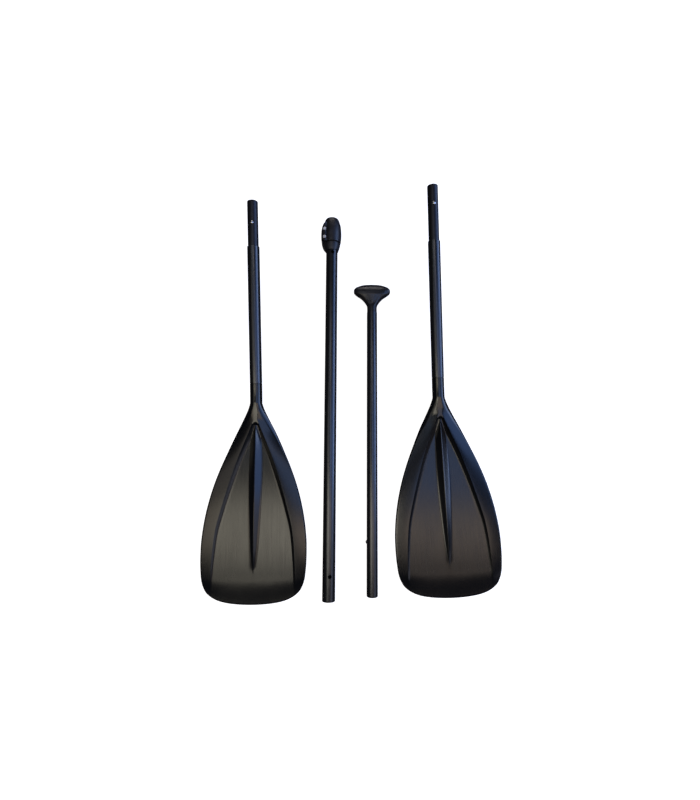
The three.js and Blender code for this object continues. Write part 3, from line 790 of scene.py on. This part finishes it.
OVAL_POWER = 2.5
EAR_OVAL = (24.7, 40.4, 792.0)  # half-width, half-height and middle of the ears' outline
EAR_BACK, EAR_FRONT = -8.8, 6.0
EAR_INSIDE = -8.0  # the ears reach in this far to the axis
SPLIT = 2.0  # gap between the two ears
SPLIT_INSIDE = -5.0  # the split reaches in this far to the axis
SLOT_BACK = -8.0  # the slot over the skirt reaches back this far
KNUCKLE_OVAL = (24.7, 38.0, 785.0)  # outline that the lever's knuckles are trimmed to
KNUCKLE_R = 6.3
KNUCKLE_GAP = 0.5
LEVER_R = 21.6  # crown of the lever's outer face
LEVER_CROWN = 1.9  # how much less the radius is at the lever's ends
LEVER_WRAP = (-16, 148)  # degrees round the tube from the right, over the front
LEVER_LEFT = -12.0  # the knuckles keep clear of the collar's ring to the right of this
LEVER_SLOT = (7.5, 4.0)  # radius and half-width of the gaps between knuckles, for the bolts

BARREL_R = 4.0
BARREL_GAP = 0.15
BARREL_FLAT = (2.8, 3.8)  # its height above the pivot, and half its length
SHANK_R = 2.0
SHANK_HOLE_R = 2.2  # through the barrel
EAR_HOLE_R = 2.25
HEAD_R = 3.4
HEAD_DEPTH = 3.2
SOCKET = (1.7, 1.8)  # radius and depth of the hexagon socket
NUT_R = 4.04
NUT_POCKET = (4.35, -5.1)  # radius, and where the pocket in the ear ends
NUT_BORE_R = 2.05
NUT_CHAMFER = (4.1, 3.6, 0.35)  # radius of the round outline, at its ends, and how tall the chamfer is

CLAMP_VOXEL = 0.42  # the clamp's mouldings have their edges rounded at this size
CLAMP_PASSES = 3


def oval_slab(half_width, half_height, middle):
    """A slab with a full oval outline seen from the front."""
    angles = np.arange(120) / 120 * 2 * math.pi

    def oval(value):
        return math.copysign(abs(value) ** (2 / OVAL_POWER), value)

    outline = [(half_width * oval(math.cos(a)), -half_height * oval(math.sin(a))) for a in angles]
    return placed(prism(outline, -EAR_REACH, EAR_REACH), 0, middle, 0, TO_Z)


def ear_mesh():
    """The collar's two ears before they are split."""
    around = block((-EAR_REACH, COLLAR_BOTTOM, EAR_BACK), (EAR_INSIDE, COLLAR_TOP, EAR_FRONT))
    return boolean(oval_slab(*EAR_OVAL), around, "INTERSECT")


def collar_mesh(pivot, bolts):
    """Skirt, split ring and ears of the clamp."""
    bore = TUBE_R + GAP
    skirt = [(14.2, COLLAR_BOTTOM), (15.6, 757.5), (16.9, 761.5), (18.1, 766), (COLLAR_R, SKIRT_TOP)]
    pocket = [(COLLAR_R, POCKET[0]), (POCKET_R, POCKET[0]), (POCKET_R, POCKET[1]), (COLLAR_R, POCKET[1])]
    shoulder = [(18.3, 823), (17.3, 827), (16.1, 830.5), (15.0, COLLAR_TOP)]
    seat = [(SEAT_R, COLLAR_TOP), (SEAT_R, SEAT_AT), (TUBE_BORE_R, SEAT_AT)]
    inside = [*seat, (TUBE_BORE_R, STOP_AT), (bore, STOP_AT), (bore, COLLAR_BOTTOM)]
    ring = lathe([*skirt, *pocket, *shoulder, *inside], COLLAR_FACETS)
    mesh = boolean(ring, ear_mesh(), "UNION")
    below, above = CUTTERS
    cutters = [
        rod(TUBE_BORE_R, below, above, COLLAR_FACETS),
        rod(bore, below, STOP_AT, COLLAR_FACETS),
        rod(SEAT_R, SEAT_AT, above, COLLAR_FACETS),
        block((-WIDE, SKIRT_TOP, SLOT_BACK), (WIDE, POCKET[0], WIDE)),
        block((-WIDE, SKIRT_TOP, -SPLIT / 2), (SPLIT_INSIDE, above, SPLIT / 2)),
        placed(rod(KNUCKLE_R + KNUCKLE_GAP, *POCKET, FINE_FACETS), pivot.x, 0, pivot.z),
    ]
    nut_radius, nut_top = NUT_POCKET
    for at in bolts:
        hole = rod(EAR_HOLE_R, -BOLT_REACH, BOLT_REACH, DRILL_FACETS)
        nut_pocket = rod(nut_radius, -BOLT_REACH, nut_top, 6)
        cutters += [placed(cutter, pivot.x, at, 0, TO_Z) for cutter in (hole, nut_pocket)]
    return moulded(cut(mesh, cutters), CLAMP_VOXEL, CLAMP_PASSES)


def lever_mesh(pivot, bolts):
    """Crowned lever with three knuckles on the pivot barrel."""
    low, high = POCKET[0] + GAP, POCKET[1] - GAP
    inner = POCKET_R + GAP
    below, above = CUTTERS
    crown = [(LEVER_R - LEVER_CROWN * t * t, mix(low, high, (t + 1) / 2)) for t in np.linspace(-1, 1, 25)]
    shell = lathe([(inner, low), *crown, (inner, high)], LEVER_FACETS)
    shell = boolean(shell, wedge(*LEVER_WRAP, WIDE, below, above), "INTERSECT")
    knuckle = placed(rod(KNUCKLE_R, low, high, FINE_FACETS), pivot.x, 0, pivot.z)
    knuckle = boolean(knuckle, oval_slab(*KNUCKLE_OVAL), "INTERSECT")
    right = block((LEVER_LEFT, below, -WIDE), (WIDE, above, WIDE))
    ring = boolean(rod(inner, below, above, LEVER_FACETS), right, "INTERSECT")
    mesh = boolean(shell, boolean(knuckle, ring), "UNION")
    radius, half = LEVER_SLOT
    cutters = [placed(rod(BARREL_R + BARREL_GAP, below, above, FINE_FACETS), pivot.x, 0, pivot.z)]
    for at in bolts:
        cutters.append(placed(rod(radius, at - half, at + half, FINE_FACETS), pivot.x, 0, pivot.z))
    return moulded(cut(mesh, cutters), CLAMP_VOXEL, CLAMP_PASSES)


def bolt_mesh(low, high):
    """Socket-head bolt along +Z, from the end of its shank to the top of its head."""
    head = high - HEAD_DEPTH
    shank = [(0, low), (SHANK_R - 0.4, low), (SHANK_R, low + 0.4), (SHANK_R, head)]
    side = [(HEAD_R - 0.25, head), (HEAD_R, head + 0.25), (HEAD_R, high - 0.5)]
    top = [(HEAD_R - 0.15, high - 0.18), (HEAD_R - 0.5, high), (0, high)]
    radius, depth = SOCKET
    mesh = boolean(lathe([*shank, *side, *top], FINE_FACETS), rod(radius, high - depth, high + 2, 6))
    mesh.transform(TO_Z)
    return mesh


def nut_mesh(low, high):
    """Hexagon nut along +Z with chamfered corners and its bore."""
    outer, end, tall = NUT_CHAMFER
    mesh = boolean(rod(NUT_R, low, high, 6), rod(NUT_BORE_R, low - 5, high + 5, 48))
    side = [(end, low), (outer, low + tall), (outer, high - tall), (end, high)]
    mesh = boolean(mesh, lathe([(0, low), *side, (0, high)], FINE_FACETS), "INTERSECT")
    mesh.transform(TO_Z)
    return mesh


def barrel_mesh(pivot, low, high, bolts):
    """Pivot barrel with chamfered ends, cross holes and a flat under each bolt head."""
    end = BARREL_R - 0.4
    side = [(end, low), (BARREL_R, low + 0.4), (BARREL_R, high - 0.4), (end, high)]
    mesh = placed(lathe([(0, low), *side, (0, high)], FINE_FACETS), pivot.x, 0, pivot.z)
    rise, half = BARREL_FLAT
    cutters = []
    for at in bolts:
        cutters.append(placed(rod(SHANK_HOLE_R, 0, EAR_REACH, DRILL_FACETS), pivot.x, at, 0, TO_Z))
        cutters.append(block((-EAR_REACH, at - half, pivot.z + rise), (0, at + half, WIDE)))
    return cut(mesh, cutters)


def middle_section():
    """Middle tube and its lever clamp."""
    body = "middle_section"
    hinge = JOINTS["clamp_lever_hinge"]
    place = shaft_frame("middle_tube", [-c for c in hinge["axis"]])
    pivot = (place.inverted() @ Vector(hinge["pos_m"])) / MM
    tube_low, tube_high = local_extent("middle_tube", place)
    bolts = {}
    for which in ("lower", "upper"):
        low, high = local_extent(f"clamp_bolt_{which}", place)
        at = bolts[which] = (low.y + high.y) / 2
        bolt = placed(bolt_mesh(low.z, high.z), pivot.x, at, 0)
        piece(f"clamp_bolt_{which}", bolt, place, body, "fastener_steel")
        low, high = local_extent(f"clamp_nut_{which}", place)
        nut = placed(nut_mesh(low.z, high.z), pivot.x, at, 0)
        piece(f"clamp_nut_{which}", nut, place, body, "fastener_steel")
    holes = [drill(at, HOLE_ROLL) for at in HOLES_AT]
    tube = cut(pipe(TUBE_R, TUBE_BORE_R, tube_low.y, tube_high.y), holes)
    piece("middle_tube", tube, place, body, "anodised_tube")
    piece("clamp_collar", collar_mesh(pivot, bolts.values()), place, body, "clamp_plastic", sharp=60)
    piece("clamp_lever", lever_mesh(pivot, bolts.values()), place, "lever", "clamp_plastic", sharp=60)
    low, high = local_extent("clamp_pivot_barrel", place)
    barrel = barrel_mesh(pivot, low.y, high.y, bolts.values())
    piece("clamp_pivot_barrel", barrel, place, body, "fastener_steel")


# ------------------------------------------------------------------ T-grip section

# Each curve reads by the height above the tube's mouth.
GRIP_TOP = 67.2
GRIP_ACROSS = curve(
    [(0, 10.8), (8, 10.8), (12, 11), (17, 12.3), (22, 15.2), (27, 18.8), (32, 23.5), (36, 28.6), (40, 34.6)]
    + [(44, 39.3), (48, 41.2), (52, 41.3), (56, 39.5), (59.5, 35.9), (62.5, 29.3), (65, 21), (GRIP_TOP, 0)]
)
GRIP_DEPTH = curve(
    [(0, 10.8), (12, 10.8), (22, 11.5), (32, 12.8), (38, 13.7), (40, 14), (47, 13.9), (50, 13.3), (54, 12)]
    + [(58, 10.2), (62, 7.5), (65, 4.5), (GRIP_TOP, 0)]
)
PANEL_ACROSS = curve([(12, 2), (21.7, 7), (33, 14), (40, 20.5), (45.5, 27.5)])
PANEL_DEPTH = 1.9
PANEL_SIDE = 3.2  # the panel's sides slope over this width
PANEL_FOOT, PANEL_TOP = 8.0, 39.5  # the panel starts in the neck and runs out into the bar
NECK_TOP, BAR_TOP = 12.0, 64.0  # the cross-section is fuller than an ellipse between these
BAR_POWER = 2.35  # of its superellipse, where 2 is an ellipse
DOME_AT = 58.0  # from here to the top the rings crowd together
GRIP_POINTS = 144  # round one ring
GRIP_SPIGOT = [(-30, 9.6), (-29.6, 9.8), (SEAM, 9.8), (SEAM, 10.5)]  # height and radius


def superellipse(value, power):
    """One coordinate of a superellipse, from the sine or cosine of its angle."""
    return np.sign(value) * np.abs(value) ** (2 / power)


def grip_mesh(mouth):
    """Palm grip: round neck flaring into a crowned bar, with a sunk panel on both faces of the flare."""
    crown = GRIP_TOP - (GRIP_TOP - DOME_AT) * (1 - np.sin(np.linspace(0, math.pi / 2, 26)))
    angle = np.arange(GRIP_POINTS) / GRIP_POINTS * 2 * math.pi

    def ring(x, y, z):
        return np.stack([x, np.full(GRIP_POINTS, y), z], -1)

    loops = [ring(r * np.sin(angle), y, r * np.cos(angle)) for y, r in GRIP_SPIGOT]
    for y in np.concatenate([np.arange(0, DOME_AT, 1.0), crown]):
        across, depth = max(float(GRIP_ACROSS(y)), 0.4), max(float(GRIP_DEPTH(y)), 0.2)
        flare = float(smooth((y - NECK_TOP) / 20)) * float(smooth((BAR_TOP - y) / 8))
        power = mix(2.0, BAR_POWER, flare)
        x = across * superellipse(np.sin(angle), power)
        z = depth * superellipse(np.cos(angle), power)
        inside = smooth((float(PANEL_ACROSS(y)) - np.abs(x)) / PANEL_SIDE + 0.5)
        depth_share = float(smooth((y - PANEL_FOOT) / 14)) * min(1.0, max(0.0, (PANEL_TOP - y) / 24))
        sunk = PANEL_DEPTH * depth_share
        loops.append(ring(x, max(y, 0.4), z - np.sign(z) * sunk * inside))
    points = np.array(loops)
    points[..., 1] += mouth
    return rings(points)


def handle_section():
    """T-grip, its tube, foot plug and button."""
    body = "handle_section"
    place = shaft_frame("handle_tube", JOINTS["handle_section_slide"]["axis"])
    tube_low, tube_high = local_extent("handle_tube", place)
    button_low, button_high = local_extent("handle_button", place)
    at = (button_low.y + button_high.y) / 2
    tube = boolean(pipe(INNER_R, INNER_BORE_R, tube_low.y, tube_high.y), drill(at, -math.pi / 2))
    piece("handle_tube", tube, place, body, "anodised_tube")
    piece("t_grip", grip_mesh(tube_high.y), place, body, "grip_plastic", sharp=50)
    plug = placed(cap_mesh(0), turn=Matrix.Rotation(math.pi, 4, "X"))
    piece("handle_foot_plug", plug, place, body, "plug_plastic")
    to_left = Matrix.Rotation(-math.pi / 2, 4, "Y")
    button = placed(button_mesh(-button_high.x, -button_low.x), 0, at, 0, to_left)
    piece("handle_button", button, place, "handle_snap", "button_steel", "dark_steel")


for side in ("left", "right"):
    blade_section(side)
middle_section()
handle_section()

# The hidden springs and foam floats stay as the CAD has them, with their own finish.
for side in ("left", "right", "handle"):
    for part, slot in (("button_spring", "spring_steel"), ("foam_float", "foam")):
        data = frame["nodes"][f"{side}_{part}"].data
        data.materials.clear()
        data.materials.append(FINISH[slot])

# A pressed button closes its spring's two legs towards the leg on the far wall; here each spring only gets a
# mesh of its own.
for side in ("left", "right", "handle"):
    spring = frame["nodes"][f"{side}_button_spring"]
    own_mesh(spring)

# ------------------------------------------------------------------ floor, light and camera, in metres

low, high = CAD_BOX
SPAN = high.y - low.y
FLOOR_HALF = 6.0
FLOOR_DROP = 0.0004  # keeps the floor clear of the blades' undersides
CEILING = 1.6  # height of the lights that face straight down

CAMERA_AT = (-0.00253, -0.20486, 1.04587)  # in spans of the laid-out kit
CAMERA_TILT = 10.24
LENS = 18.9
SENSOR = 36


def seen_by_camera(tree):
    """1 where the camera looks straight at a surface, 0 in reflections."""
    return tree.nodes.new("ShaderNodeLightPath").outputs["Is Camera Ray"]


def diffuse(tree, colour):
    """Output of a matt shader."""
    node = tree.nodes.new("ShaderNodeBsdfDiffuse")
    node.inputs["Color"].default_value = (*colour, 1)
    return node.outputs[0]


def floor():
    """Pale floor: white to the camera, and dim in the object's own reflections."""
    mesh = bpy.data.meshes.new("floor")
    corners = [(-1, -1), (1, -1), (1, 1), (-1, 1)]
    mesh.from_pydata([(x * FLOOR_HALF, y * FLOOR_HALF, 0) for x, y in corners], [], [(0, 1, 2, 3)])
    material = bpy.data.materials.new("pale_floor")
    material.use_nodes = True
    tree = material.node_tree
    tree.nodes.clear()
    out = tree.nodes.new("ShaderNodeOutputMaterial")
    glow = tree.nodes.new("ShaderNodeEmission")
    glow.inputs["Strength"].default_value = 0.9
    bright = tree.nodes.new("ShaderNodeAddShader")
    tree.links.new(diffuse(tree, (0.9, 0.9, 0.9)), bright.inputs[0])
    tree.links.new(glow.outputs[0], bright.inputs[1])
    choose = tree.nodes.new("ShaderNodeMixShader")
    tree.links.new(seen_by_camera(tree), choose.inputs[0])
    tree.links.new(diffuse(tree, (0.1, 0.09, 0.085)), choose.inputs[1])
    tree.links.new(bright.outputs[0], choose.inputs[2])
    tree.links.new(choose.outputs[0], out.inputs["Surface"])
    mesh.materials.append(material)
    obj = bpy.data.objects.new("floor", mesh)
    obj.location.z = low.z - FLOOR_DROP
    bpy.context.scene.collection.objects.link(obj)


def world():
    """Pale to the camera, and a dim cool room in reflections."""
    made = bpy.data.worlds.new("studio")
    made.use_nodes = True
    tree = made.node_tree
    colour = tint(tree, seen_by_camera(tree), (0.02, 0.023, 0.03), (0.93, 0.93, 0.93))
    tree.links.new(colour, tree.nodes["Background"].inputs["Color"])
    bpy.context.scene.world = made


def area_light(name, at, towards, size, colour, power):
    """Soft rectangular light aimed at a point. Its power is in watts."""
    data = bpy.data.lights.new(name, "AREA")
    data.shape = "RECTANGLE"
    data.size, data.size_y = size
    data.color = colour
    data.energy = power
    obj = bpy.data.objects.new(name, data)
    obj.location = at
    obj.rotation_euler = (Vector(towards) - Vector(at)).to_track_quat("-Z", "Y").to_euler()
    bpy.context.scene.collection.objects.link(obj)


def ceiling_light(name, x, y, size, colour, power):
    """Area light on the ceiling that faces straight down."""
    area_light(name, (x, y, CEILING), (x, y, 0), size, colour, power)


def camera():
    data = bpy.data.cameras.new("camera")
    data.sensor_width = SENSOR
    data.lens = LENS
    data.clip_end = 50
    obj = bpy.data.objects.new("camera", data)
    obj.location = [share * SPAN for share in CAMERA_AT]
    obj.rotation_euler = (math.radians(CAMERA_TILT), 0, 0)
    bpy.context.scene.collection.objects.link(obj)
    bpy.context.scene.camera = obj


floor()
world()

# Cool daylight comes from the right and the far end, and lights the tubes' right sides.
area_light("window", (2.2, 0.75, 0.7), (0, 0.75, 0), (2.4, 0.6), (0.45, 0.6, 1.0), 26)
area_light("sky", (1.75, 0.75, 1.3), (0, 0.75, 0), (2.4, 0.9), (0.25, 0.44, 1.0), 16)
area_light("wall", (1.75, -1.1, 1.2), (0, -0.8, 0), (1.3, 0.9), (0.85, 0.85, 1.0), 3.5)
area_light("back_window", (0, 2.4, 0.9), (0, 0.4, 0), (1.6, 0.5), (1.0, 0.94, 0.92), 7)

# The blades' faces mirror the ceiling: cool light in their upper halves, warm lamps in their lower ones.
ceiling_light("cool_ceiling", 0.53, -0.06, (1.0, 0.54), (0.34, 0.52, 1.0), 2.9)
ceiling_light("left_ceiling", -0.65, 0.1, (0.6, 0.3), (0.5, 0.68, 1.0), 0.42)
ceiling_light("side_ceiling", -1.3, 0.05, (0.6, 0.5), (1.0, 0.9, 0.8), 0.9)
ceiling_light("lamp_left", -0.73, -0.5, (0.46, 0.44), (1.0, 0.93, 0.75), 2.3)
ceiling_light("lamp_right", -0.33, -0.5, (0.34, 0.44), (1.0, 0.93, 0.77), 2.1)
ceiling_light("side_lamp", -1.2, -0.48, (0.46, 0.44), (1.0, 0.88, 0.7), 1.4)
ceiling_light("far_lamp", -0.46, 0.58, (0.7, 0.36), (0.92, 0.95, 1.0), 1.0)
ceiling_light("grip_lamp", 0.1, 0.42, (0.26, 0.44), (1.0, 0.86, 0.8), 0.8)
ceiling_light("near_lamp", 0.57, -0.52, (1.16, 0.31), (1.0, 0.81, 0.65), 2.6)
camera()
bpy.context.scene.view_settings.view_transform = "Standard"
